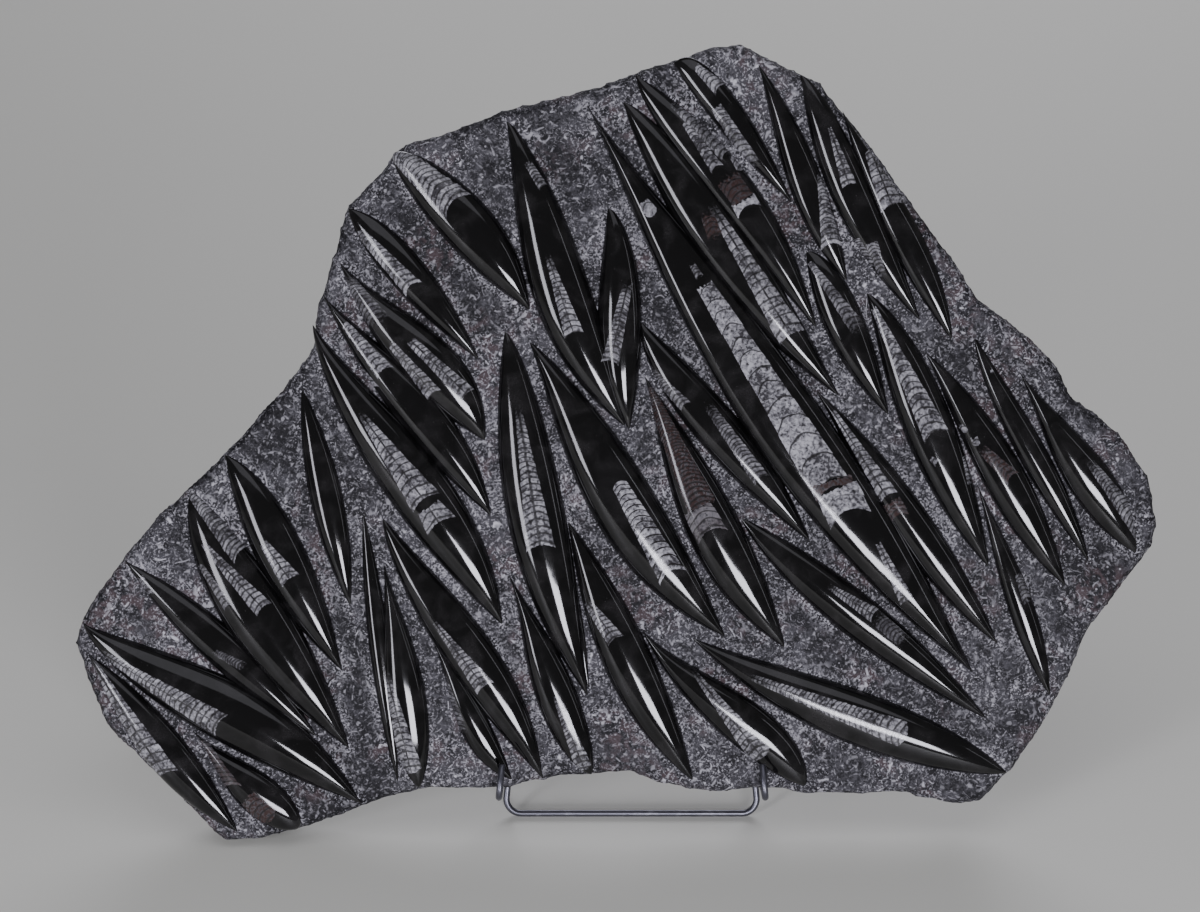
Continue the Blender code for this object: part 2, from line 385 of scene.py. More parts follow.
@dataclass(frozen=True)
class Shell:
    """An orthoceras shell cut open by the polish: a pale cone with thin dark walls across it."""

    narrow: Place  # middle of its narrow end, millimetres across and down
    wide: Place  # middle of its wide end
    half: Place  # half widths at the two ends, in millimetres
    walls: float = 2.6  # distance between the chamber walls
    siphon: float = 0.0  # half width of the dark tube along it
    siphon_side: float = 0.0  # where the tube lies, -1 left edge to 1 right edge
    shine: float = 1.0  # how pale it is
    brown: float = 0.0  # how rusty it is
    mess: float = 0.35  # how uneven the chambers are
    wall_depth: float = 0.85  # how dark the walls are
    start: Tip = Tip.FADE
    end: Tip = Tip.CUP

    @property
    def length(self) -> float:
        """From end to end, in millimetres."""
        return math.dist(self.narrow, self.wide)

    @property
    def cup(self) -> float:
        """How far a wall hollows in, in half widths: less where the cut meets the tube."""
        return 0.34 if self.siphon else 0.56

    @property
    def way(self) -> Place:
        """Unit direction from the narrow end to the wide end."""
        return tuple((b - a) / self.length for a, b in zip(self.narrow, self.wide))


SHELLS = [
    Shell((197, 67), (235, 101), (5.4, 11.4), 3.2, mess=0.8, start=Tip.ROUND),
    Shell((175, 114), (208, 149), (3.0, 6.6), 3.4, mess=0.6, shine=0.9, start=Tip.BREAK),
    Shell((166, 140), (188, 169), (3.6, 7.2), 2.4, shine=0.45, end=Tip.FADE),
    Shell((194, 181), (220, 212), (2.4, 5.4), 3.0, siphon=0.5, shine=0.85, start=Tip.BREAK),
    Shell((206, 179), (240, 212), (3.0, 5.4), 3.2, siphon=0.5, shine=0.85, start=Tip.BREAK),
    Shell((166, 169), (191, 199), (2.4, 6.0), 3.4, mess=0.6, start=Tip.BREAK),
    Shell((161, 180), (184, 209), (2.4, 3.6), 3.0, shine=0.8, start=Tip.BREAK),
    Shell((175, 221), (215, 276), (1.8, 10.2), 4.6, siphon=0.6),
    Shell((216, 278), (224, 290), (7.8, 10.2), 5.0, siphon=0.7, shine=0.8, start=Tip.BREAK),
    Shell((116, 298), (134, 323), (2.4, 6.6), 3.3, siphon=0.5),
    Shell((72, 269), (106, 308), (2.4, 7.8), 2.6, mess=0.6, shine=0.85, start=Tip.BREAK),
    Shell((81, 300), (118, 340), (1.8, 6.0), 3.0, siphon=0.6, shine=0.8, start=Tip.BREAK),
    Shell((79, 313), (97, 339), (1.8, 3.6), 2.8, shine=0.6, start=Tip.BREAK),
    Shell((43, 321), (49, 331), (2.0, 3.0), 3.0, shine=0.7, end=Tip.BREAK, start=Tip.BREAK),
    Shell((86, 365), (106, 375), (2.0, 3.2), 1.5, shine=0.35, mess=1.2, end=Tip.FADE),
    Shell((15, 364), (92, 410), (1.8, 8.4), 3.0, siphon=0.4),
    Shell((10, 367), (58, 442), (1.8, 9.0), 4.5, siphon=0.9),
    Shell((74, 415), (96, 451), (3.6, 8.4), 3.0, shine=0.6, brown=0.5),
    Shell((106, 454), (121, 468), (6, 8), 4, shine=0.5, brown=0.9, end=Tip.ROUND, start=Tip.BREAK),
    Shell((190, 377), (205, 440), (1.8, 7.2), 3.4, siphon=0.5, end=Tip.ROUND),
    Shell((218, 346), (250, 388), (1.2, 6.6), 2.6, siphon=0.4),
    Shell((223, 379), (235, 417), (2.4, 4.8), 2.8, shine=0.55, end=Tip.FADE),
    Shell((291, 390), (309, 438), (1.8, 5.4), 2.6, siphon=0.5, end=Tip.ROUND),
    Shell((269, 216), (283, 304), (1.8, 9.0), 3.3, siphon=1.1),
    Shell(
        (330, 265), (362, 321), (4.8, 9.0), 4.6,
        shine=1.15, wall_depth=1.0, mess=0.25, start=Tip.ROUND,
    ),
    Shell((275, 73), (285, 89), (2.4, 3.0), 2.2, shine=0.7),
    Shell((287, 128), (303, 176), (1.8, 6.0), 2.9, siphon=0.4),
    Shell((335, 144), (324, 193), (3.0, 5.4), 2.8, siphon=0.6, shine=0.85),
    Shell((346, 195), (370, 219), (2.4, 4.2), 2.2, shine=0.6),
    Shell((382, 217), (415, 263), (3.0, 5.4), 2.4, shine=0.6),
    Shell(
        (347, 208), (379, 278), (3.6, 9.2), 2.2,
        shine=0.45, brown=0.75, mess=0.9, end=Tip.BREAK, start=Tip.BREAK,
    ),
    Shell((376, 279), (386, 297), (9.0, 10.2), 4.2, shine=0.75, brown=0.15, start=Tip.BREAK),
    Shell((455, 326), (483, 344), (1.8, 4.8), 2.2, siphon=0.4, shine=0.85),
    Shell((483, 345), (501, 360), (4.4, 4.8), 2.6, shine=0.3, end=Tip.FADE),
    Shell((373, 376), (416, 430), (1.2, 7.8), 3.2, siphon=0.7, end=Tip.ROUND),
    Shell((404, 379), (502, 416), (1.8, 8.4), 3.1, siphon=0.4, end=Tip.ROUND),
    Shell((310, 335), (328, 359), (2.4, 6.0), 2.8, siphon=0.5, shine=0.8),
    Shell((373, 134), (377, 141), (2.0, 2.6), 2.0, shine=0.6, end=Tip.BREAK, start=Tip.BREAK),
    Shell(
        (380, 146), (457, 268), (5.4, 12.4), 11.5,
        shine=1.2, mess=0.5, wall_depth=0.9, start=Tip.BREAK,
    ),
    Shell((456, 262), (459, 272), (12.0, 12.6), 8.0, shine=0.4, brown=0.7, start=Tip.BREAK),
    Shell((459, 267), (468, 287), (12.8, 13.8), 9.0, shine=1.2, wall_depth=0.5, start=Tip.BREAK),
    Shell((344, 97), (350, 105), (3.4, 4.4), 9, shine=0.8, mess=1, end=Tip.ROUND, start=Tip.BREAK),
    Shell((383, 97), (433, 178), (2.4, 9.0), 5.2, siphon=0.7),
    Shell((381, 103), (387, 119), (4.0, 5.0), 3.0, shine=0.3, brown=1.0, end=Tip.FADE),
    Shell((359, 37), (394, 70), (2.0, 4.8), 3.2, shine=0.85),
    Shell((397, 69), (403, 78), (3.0, 3.4), 4.0, shine=0.9, end=Tip.ROUND, start=Tip.BREAK),
    Shell((368, 50), (388, 78), (1.8, 4.4), 3.0, shine=0.95, start=Tip.BREAK),
    Shell((393, 82), (403, 96), (7.4, 7.4), 3.6, shine=0.3, brown=0.8, end=Tip.BREAK),
    Shell((403, 96), (407, 103), (7.6, 7.8), 9.0, shine=1.3, wall_depth=0.2, start=Tip.BREAK),
    Shell((375, 17), (390, 31), (2.4, 4.8), 3.0, shine=0.9, mess=0.8, start=Tip.BREAK),
    Shell(
        (387, 41), (411, 78), (3.6, 4.8), 3.4, shine=0.7, mess=0.8, end=Tip.FADE, start=Tip.BREAK
    ),
    Shell((454, 53), (466, 88), (1.2, 4.8), 2.8, siphon=0.7, start=Tip.BREAK),
    Shell((448, 79), (456, 125), (1.5, 6.6), 2.7, shine=1.05),
    Shell((479, 67), (492, 101), (4.2, 7.8), 4.3, siphon=0.6, start=Tip.ROUND),
    Shell((470, 119), (479, 137), (2.4, 4.2), 2.0, shine=0.7, end=Tip.FADE, start=Tip.BREAK),
    Shell((479, 121), (487, 143), (4.0, 2.2), 2.2, shine=0.55, end=Tip.FADE, start=Tip.BREAK),
    Shell((443, 133), (473, 174), (1.8, 5.4), 3.1, shine=0.6, end=Tip.FADE, start=Tip.BREAK),
    Shell((481, 160), (519, 237), (1.8, 8.4), 3.8, start=Tip.BREAK),
    Shell((515, 249), (519, 252), (1.4, 2.6), 6.0, end=Tip.BREAK, start=Tip.BREAK),
    Shell((535, 249), (539, 266), (0.8, 1.8), 2.4, shine=0.8, end=Tip.FADE, start=Tip.BREAK),
    Shell((533, 230), (537, 234), (1.6, 2.0), 6.0, shine=0.7, end=Tip.ROUND, start=Tip.BREAK),
    Shell((457, 221), (491, 273), (1.5, 6.0), 3.4, siphon=0.6, siphon_side=0.2, start=Tip.BREAK),
    Shell((492, 275), (498, 286), (5.8, 6.0), 3.0, shine=0.4, brown=0.8, start=Tip.BREAK),
    Shell((541, 237), (543, 242), (2.2, 2.6), 6.0, end=Tip.ROUND, start=Tip.BREAK),
    Shell((545, 243), (565, 262), (2.8, 5.4), 3.0, shine=0.5, brown=0.7, mess=1.2),
    Shell((551, 196), (552, 199), (0.8, 1.2), 6.0, end=Tip.ROUND, start=Tip.BREAK),
    Shell((484, 300), (502, 336), (1.8, 4.8), 3.7, siphon=0.5, start=Tip.BREAK),
    Shell((608, 249), (648, 300), (2.4, 7.2), 2.8, shine=0.7, end=Tip.ROUND),
    Shell((568, 319), (575, 337), (2.0, 3.6), 2.4, shine=0.6, end=Tip.FADE, start=Tip.BREAK),
]


@dataclass(frozen=True)
class Ridge:
    """A polished ridge: its two tips on the plate and how far each side bulges, in millimetres."""

    upper: Place
    lower: Place
    right: float
    left: float
    right_peak: float = 0.5
    left_peak: float = 0.5
    upper_point: float = 1.0
    lower_point: float = 1.0
    crest_point: float = 0.7  # less keeps the crest level further along
    flat_top: float = 0.0  # more cuts the middle of the top flatter across
    high_left: float = 0.0  # share by which the left side stands higher

    def bulge(self, along: float, peak: float) -> float:
        """How far out an edge is.

        Args:
            along: 0 at the upper tip, 1 at the lower.
            peak: where the edge is widest.

        Returns:
            0 at the tips, 1 at the peak.
        """
        shifted = along ** (math.log(0.5) / math.log(peak))
        point = self.upper_point + (self.lower_point - self.upper_point) * along
        return max(4.0 * shifted * (1.0 - shifted), 0.0) ** point

    def along_and_right(self, place: Place) -> Place:
        """Where a place lies beside the line between the tips.

        Args:
            place: millimetres across and down.

        Returns:
            The share of the way from the upper tip, and the millimetres to the right.
        """
        length = math.dist(self.upper, self.lower)
        chord = (self.lower[0] - self.upper[0], self.lower[1] - self.upper[1])
        x, y = place[0] - self.upper[0], place[1] - self.upper[1]
        return (x * chord[0] + y * chord[1]) / length ** 2, (x * chord[1] - y * chord[0]) / length

    def edges(self, along: float) -> Place:
        """Millimetres from the line between the tips to the left and the right edge."""
        left = self.left * self.bulge(along, self.left_peak)
        return left, self.right * self.bulge(along, self.right_peak)

    def gap(self, place: Place) -> float:
        """How far a place on the ground is from the ridge's edge.

        Args:
            place: millimetres across and down.

        Returns:
            Millimetres, 0 under the ridge.
        """
        along, right = self.along_and_right(place)
        past = max(-along, along - 1.0, 0.0) * math.dist(self.upper, self.lower)
        left_edge, right_edge = self.edges(min(max(along, 0.001), 0.999))
        return math.hypot(max(right - right_edge, -right - left_edge, 0.0), past)

    def holds(self, shell: Shell) -> bool:
        """Whether a shell lies in this ridge.

        Args:
            shell: the shell.

        Returns:
            True where any of five places on its middle line does.
        """
        reach = shell.half[0] * 0.5
        for share in (0.08, 0.3, 0.5, 0.7, 0.92):
            place = tuple(a + (b - a) * share for a, b in zip(shell.narrow, shell.wide))
            along, right = self.along_and_right(place)
            if 0.01 < along < 0.99:
                left_edge, right_edge = self.edges(along)
                if -left_edge - reach < right < right_edge + reach:
                    return True
        return False


RIDGES = [
    Ridge((196, 68), (277, 162), 21, 11, 0.5, 0.45, upper_point=0.6),
    Ridge((169, 101), (247, 192), 13, 10, 0.4, 0.4),
    Ridge((163, 132), (250, 240), 20, 14, 0.65, 0.5),
    Ridge((153, 152), (254, 286), 17, 10, 0.6, 0.5),
    Ridge((147, 170), (260, 351), 20, 18, 0.62, 0.45),
    Ridge((140, 206), (169, 341), 10, 10),
    Ridge((94, 248), (164, 379), 16, 14, 0.4, 0.5),
    Ridge((74, 268), (168, 426), 13, 26, 0.5, 0.42),
    Ridge((33, 311), (149, 419), 13, 11),
    Ridge((8, 349), (175, 459), 22, 17, 0.58, 0.4),
    Ridge((10, 367), (101, 477), 11, 15, 0.5, 0.55),
    Ridge((56, 407), (94, 474), 4, 5),
    Ridge((72, 413), (137, 473), 11, 15, 0.7, 0.65, lower_point=0.6),
    Ridge((176, 278), (197, 450), 6, 7),
    Ridge((188, 309), (209, 449), 13, 12, 0.62, 0.65, lower_point=0.7),
    Ridge((188, 284), (284, 444), 17, 14, 0.6, 0.42),
    Ridge((217, 359), (266, 445), 6, 13, 0.5, 0.65),
    Ridge((263, 318), (313, 441), 11, 14, 0.6, 0.65, lower_point=0.7),
    Ridge((261, 172), (311, 394), 12, 24, 0.4, 0.52),
    Ridge((295, 293), (312, 394), 4, 3),
    Ridge((275, 179), (394, 358), 13, 27, 0.45, 0.58),
    Ridge((262, 48), (334, 232), 12, 24, 0.4, 0.58),
    Ridge((322, 99), (336, 234), 15, 13, 0.38, 0.6),
    Ridge((342, 167), (445, 301), 11, 17, 0.55, 0.4),
    Ridge((344, 199), (430, 365), 11, 22, 0.55, 0.58),
    Ridge((401, 284), (552, 408), 12, 15, 0.5, 0.45),
    Ridge((343, 353), (442, 448), 17, 13, 0.7, 0.5, lower_point=0.7),
    Ridge((372, 357), (563, 440), 12, 22, 0.65, 0.5, lower_point=0.8),
    Ridge((298, 286), (375, 446), 11, 19, 0.5, 0.55),
    Ridge(
        (310, 39), (543, 380), 14, 31, 0.6, 0.55, crest_point=0.48, flat_top=1.8, high_left=0.13
    ),
    Ridge((331, 37), (462, 214), 14, 19, 0.4, 0.5),
    Ridge((340, 22), (448, 174), 20, 8, 0.5, 0.3),
    Ridge((362, 15), (433, 98), 15, 5, 0.28, 0.5, upper_point=0.7),
    Ridge((411, 14), (466, 146), 10, 11, 0.5, 0.6),
    Ridge((437, 22), (510, 169), 9, 16, 0.35, 0.5),
    Ridge((462, 43), (529, 181), 11, 9, 0.6, 0.5),
    Ridge((440, 126), (491, 225), 14, 11, 0.35, 0.5),
    Ridge((476, 150), (552, 317), 17, 14, 0.42, 0.55),
    Ridge((511, 185), (598, 328), 15, 11, 0.5, 0.6),
    Ridge((541, 175), (612, 314), 8, 10, 0.6, 0.42),
    Ridge((567, 196), (640, 308), 14, 13, 0.65, 0.6),
    Ridge((543, 263), (589, 395), 9, 7, 0.6, 0.6),
    Ridge((445, 207), (558, 363), 12, 12, 0.5, 0.6),
    Ridge((479, 288), (534, 369), 5, 11, 0.5, 0.45),
]

# The plate's rim, clockwise from its upper left (across, down)
RIM = [
    (194, 67), (206, 60), (234, 53), (258, 42), (289, 35), (316, 28), (342, 18), (360, 13),
    (378, 6), (402, 2), (429, 16), (450, 26), (462, 41), (473, 54), (494, 83), (519, 116),
    (531, 133), (545, 154), (573, 175), (593, 195), (600, 212), (615, 222), (630, 235),
    (648, 261), (653, 288), (651, 303), (630, 331), (613, 354), (603, 377), (590, 406),
    (569, 438), (549, 459), (534, 461), (500, 454), (462, 455), (440, 455), (428, 451.5),
    (408, 451.5), (390, 454), (351, 448), (337, 441), (318, 443), (294, 444), (272, 448),
    (264, 451.5), (246, 451.5), (216, 451), (189, 457), (165, 466), (138, 476), (115, 482),
    (91, 484), (78, 471), (60, 452), (42, 435), (19, 411), (6, 375), (1, 362), (8, 341),
    (31, 309), (52, 285), (91, 248), (128, 208), (146, 183), (148, 160), (158, 129),
    (167, 98), (189, 77),
]


# ---- finishes


@dataclass(frozen=True)
class PolishedStone:
    """Black polished limestone, with every shell that a ridge cuts through."""

    black: Colour = (0.0040, 0.0038, 0.0040)
    haze: Colour = (0.024, 0.0225, 0.0235)
    speck: Colour = (0.13, 0.125, 0.125)
    pale: Colour = (0.37, 0.365, 0.39)
    dull: Colour = (0.042, 0.040, 0.045)
    rust: Colour = (0.034, 0.020, 0.019)
    wall: Colour = (0.012, 0.011, 0.011)
    edge: float = 0.30  # softness of an outline, in millimetres
    fade_tear: float = 14.0  # how raggedly a fading end begins
    break_tear: float = 5.0  # how ragged a broken end is
    rim_tear: float = 2.0  # how ragged a hollow or rounded end is

    def material(self, name: str, shells: list[Shell]) -> bpy.types.Material:
        """Make the finish of one ridge.

        Args:
            name: the material's name.
            shells: the shells in this ridge.

        Returns:
            The material.
        """
        board = Board(name)
        plan = self.plan(board)
        cloud = board.noise(60.0, 4.0, warp=0.6)
        hazy = cloud.step(0.42, 0.75) * board.noise(900.0, 3.0)
        colour = board.blend(hazy, self.black, self.haze)
        flecks = (1.0 - board.cells(420.0).step(0.05, 0.13)) * board.noise(130.0).step(0.58, 0.68)
        colour = board.blend(flecks * 0.35, colour, self.speck)
        ragged = board.noise(0.60, 3.0, place=plan) - 0.5
        mottle = board.noise(0.50, 5.0, place=plan, warp=0.5)
        blotch = (board.noise(0.11, 2.0, place=plan, warp=0.4) - 0.5) * 1.7
        covered = board.signal("ShaderNodeValue", {}, {})
        for seed, shell in enumerate(shells, start=1):
            grain = (ragged, mottle, blotch)
            tint, mask = self.section(board, plan, shell, grain, float(seed))
            colour = board.blend(mask, colour, tint)
            covered = covered.most(mask)
        roughness = covered * 0.05 + (cloud * 0.05 + 0.055)
        board.bump(board.noise(45.0, 1.0) + board.noise(190.0, 2.0) * 0.10, 0.00035, 0.35)
        return board.finish(colour, roughness, Specular_IOR_Level=0.45)

    def plan(self, board: Board) -> bpy.types.NodeSocket:
        """Places on the plate, in millimetres across and down.

        Args:
            board: the node board.

        Returns:
            The vector's socket.
        """
        across = board.dot(board.place, tuple(PLATE.right / MM))
        up = board.dot(board.place, tuple(PLATE.up / MM))
        across = across + (PLATE.middle_across - PLATE.bar.dot(PLATE.right) / MM)
        down = (PLATE.bar_down + PLATE.bar.dot(PLATE.up) / MM) - up
        return board.flat_vector(across, down)

    def section(self, board: Board, plan: object, shell: Shell, grain: tuple, seed: float) -> tuple:
        """The colour and the mask of one shell.

        Args:
            board: the node board.
            plan: places on the plate.
            shell: which shell.
            grain: noise that makes edges ragged, and fine and broad noise that mottles the shell.
            seed: sets its random chambers apart.

        Returns:
            The colour's socket and the mask.
        """
        ragged, mottle, blotch = grain
        forward, sideways = shell.way, (-shell.way[1], shell.way[0])
        start = sum(a * b for a, b in zip(shell.narrow, forward))
        middle = sum(a * b for a, b in zip(shell.narrow, sideways))
        along = board.dot(plan, (*forward, 0.0)) - start
        side = board.dot(plan, (*sideways, 0.0)) - middle
        widening = (shell.half[1] - shell.half[0]) / shell.length
        half = along * widening + shell.half[0]
        across = (side / half.most(0.3)).least(1.2).most(-1.2)
        dome = (1.0 - across * across) * half
        drift = (board.noise(0.07, 1.0, place=plan) - 0.5) * (2.4 * shell.walls ** 0.5)
        arc = along + dome * shell.cup + drift + ragged * (0.4 + shell.mess)
        chamber = arc * (1.35 - arc * (0.35 / shell.length)) / shell.walls + 50.0
        cell = board.hashed((chamber + 0.5).floor(), seed)
        step_out = half * (cell * 0.08 + 0.95) + ragged * (0.3 + shell.mess)
        mask = ((step_out - abs(side)) / self.edge).clamp() * self.ends(shell, along, dome, ragged)
        wall = abs(chamber.fraction() - 0.5) * shell.walls + ragged * 0.7
        line = 1.0 - wall.step(0.20, 0.50 + 0.12 * shell.walls ** 0.5)
        tone = (cell * 0.34 + 0.22 + (mottle - 0.5) * 2.6 + blotch) * shell.shine
        tint = board.blend(tone.clamp(), self.dull, self.pale)
        if shell.brown:
            rusty = (mottle.step(0.30, 0.62) * (0.35 + shell.brown)).clamp()
            tint = board.blend(rusty, tint, self.rust)
        dark = line * shell.wall_depth
        if shell.siphon:
            offset = side - half * shell.siphon_side + ragged * 0.8
            tube = 1.0 - ((abs(offset) - shell.siphon * 0.55) / 0.35).clamp()
            dark = dark.most(tube * (cell * 0.4 + 0.6))
        pores = (1.0 - mottle.step(0.30, 0.38)) * 0.8
        dark = dark.most(pores)
        return board.blend(dark, tint, self.wall), mask

    def ends(self, shell: Shell, along: Signal, dome: Signal, ragged: Signal) -> Signal:
        """The mask of a shell's two ends.

        Args:
            shell: which shell.
            along: millimetres from its narrow end.
            dome: how far the middle stands past the sides.
            ragged: noise that breaks the edge.

        Returns:
            1 inside, 0 past the ends.
        """
        frayed = along + ragged * self.fade_tear
        if shell.start is Tip.FADE:
            mask = frayed.step(0.0, shell.length * 0.25)
        elif shell.start is Tip.ROUND:
            mask = ((along + dome * shell.cup) / self.edge).clamp()
        else:
            mask = ((along + ragged * self.break_tear) / self.edge).clamp()
        if shell.end is Tip.FADE:
            return mask * (1.0 - frayed.step(shell.length * 0.72, shell.length))
        if shell.end is Tip.CUP:
            rim = shell.length - dome * shell.cup + ragged * self.rim_tear
        elif shell.end is Tip.ROUND:
            rim = dome * shell.cup + (shell.length - shell.half[1] * shell.cup)
            rim = rim + ragged * self.rim_tear
        else:
            rim = shell.length + ragged * self.break_tear
        return mask * ((rim - along) / self.edge).clamp()


@dataclass(frozen=True)
class RoughStone:
    """The chiselled ground: dark grey limestone full of pale shell crumbs."""

    deep: Colour = (0.0072, 0.0068, 0.0088)
    middle: Colour = (0.055, 0.053, 0.061)
    crumb: Colour = (0.46, 0.45, 0.485)
    rust: Colour = (0.056, 0.034, 0.037)
    crush: str = "crush"  # the mesh attribute that is 1 beside the ridges
    # Layers of short strokes: swells to a metre, shift, lines to a swell, strength
    layers: tuple = (
        (45.0, 0.0, 7.2, 1.0), (60.0, 3.7, 8.0, 0.7), (33.0, 9.1, 5.5, 0.6),
        (95.0, 5.3, 6.5, 0.5), (140.0, 1.9, 5.5, 0.35),
    )

    def material(self) -> bpy.types.Material:
        """Make the finish.

        Returns:
            The material.
        """
        board = Board("chiselled limestone")
        grit = board.noise(620.0, 3.0, warp=0.3)
        body = board.noise(150.0, 5.0, warp=0.5)
        cloud = board.noise(17.0, 3.0)
        crush = board.signal("ShaderNodeAttribute", {"attribute_name": self.crush}, {}, "Fac")
        shade = body * 0.9 + grit * 0.7 + (cloud - 0.5) * 0.7
        colour = board.blend(shade.step(0.66, 1.04), self.deep, self.middle)
        rusty = board.noise(24.0, 4.0).step(0.50, 0.62) * body.step(0.44, 0.60)
        colour = board.blend(rusty * 0.65, colour, self.rust)
        crumbs = board.signal("ShaderNodeValue", {}, {})
        for scale, shift, levels, weight in self.layers:
            crumbs = crumbs.most(self.threads(board, scale, shift, levels) * weight)
        dusty = ((cloud + board.noise(48.0, 3.0)) * 0.5).step(0.46, 0.60)
        crumbs = crumbs * (dusty * 0.55 + 0.45)
        dust = board.noise(800.0, 2.0, warp=0.4)
        salt = dust.step(0.54, 0.68) * (dusty * 0.55 + 0.05).most(crush * 0.8)
        band = crush * board.noise(28.0).step(0.50, 0.60) * dust.step(0.45, 0.63) * 0.8
        crumbs = crumbs.most(salt).most(self.chips(board) * 0.7).most(band)
        colour = board.blend(crumbs.clamp(), colour, self.crumb)
        pits = board.cells(330.0).step(0.1, 0.75)
        board.bump(grit * 0.5 + pits * 0.3 + body * 0.8 + crumbs * 0.3, 0.0012, 0.9)
        return board.finish(colour, 0.66 - crumbs * 0.2, Specular_IOR_Level=0.22)

    def threads(self, board: Board, scale: float, shift: float, levels: float) -> Signal:
        """Short strokes: pieces of the level lines of a noise.

        Args:
            board: the node board.
            scale: swells of the noise to a metre.
            shift: sets one layer apart from the next.
            levels: how many lines each swell is cut into.

        Returns:
            1 on a stroke.
        """
        place = board.moved((shift, shift * 2.0, shift * 3.0))
        level = board.noise(scale, 0.6, place=place, warp=0.3) * levels
        line = abs(level.fraction() - 0.5)
        stroke = 1.0 - ((line - 0.04) / 0.10).clamp()
        return stroke * board.noise(scale * 2.0 + 230.0, 1.0, place=place).step(0.53, 0.64)

    def chips(self, board: Board) -> Signal:
        """Small pale chips."""
        return (1.0 - board.cells(210.0).step(0.07, 0.20)) * board.noise(80.0, 1.0).step(0.52, 0.64)


@dataclass(frozen=True)
class PaintedWire:
    """Dark satin steel wire, rubbed a little."""

    paint: Colour = (0.105, 0.105, 0.125)
    rubbed: Colour = (0.26, 0.26, 0.29)

    def material(self) -> bpy.types.Material:
        """Make the finish.

        Returns:
            The material.
        """
        board = Board("satin steel wire")
        wear = board.noise(160.0, 4.0).step(0.50, 0.72) * board.noise(1500.0, 1.0)
        colour = board.blend(wear, self.paint, self.rubbed)
        board.bump(board.noise(2200.0, 2.0), 0.00005, 0.5)
        return board.finish(colour, wear * 0.12 + 0.34, Metallic=0.85)


@dataclass(frozen=True)
class PaleFloor:
    """A plain pale studio floor."""

    colour: Colour = (0.66, 0.66, 0.60)
    patch: Colour = (0.52, 0.52, 0.52)

    def material(self) -> bpy.types.Material:
        """Make the finish.

        Returns:
            The material.
        """
        board = Board("pale studio floor")
        tint = board.blend(board.noise(3.0, 2.0) * 0.12, self.colour, self.patch)
        return board.finish(tint, 0.55, Specular_IOR_Level=0.3)


# ---- the slab and its ridges


def drop_in(piece: bpy.types.Object, node: str) -> None:
    """Hand a piece over to the frame.

    Args:
        piece: the piece, which rides on the root body.
        node: the node that it stands for.
    """
    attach(piece, "root")
    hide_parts(node)


def bake_modifiers(obj: bpy.types.Object) -> None:
    """Turn an object's modifiers into plain mesh.

    Args:
        obj: the object, which has none afterwards.
    """
    depsgraph = bpy.context.evaluated_depsgraph_get()
    mesh = bpy.data.meshes.new_from_object(obj.evaluated_get(depsgraph))
    obj.modifiers.clear()
    old, obj.data = obj.data, mesh
    bpy.data.meshes.remove(old)


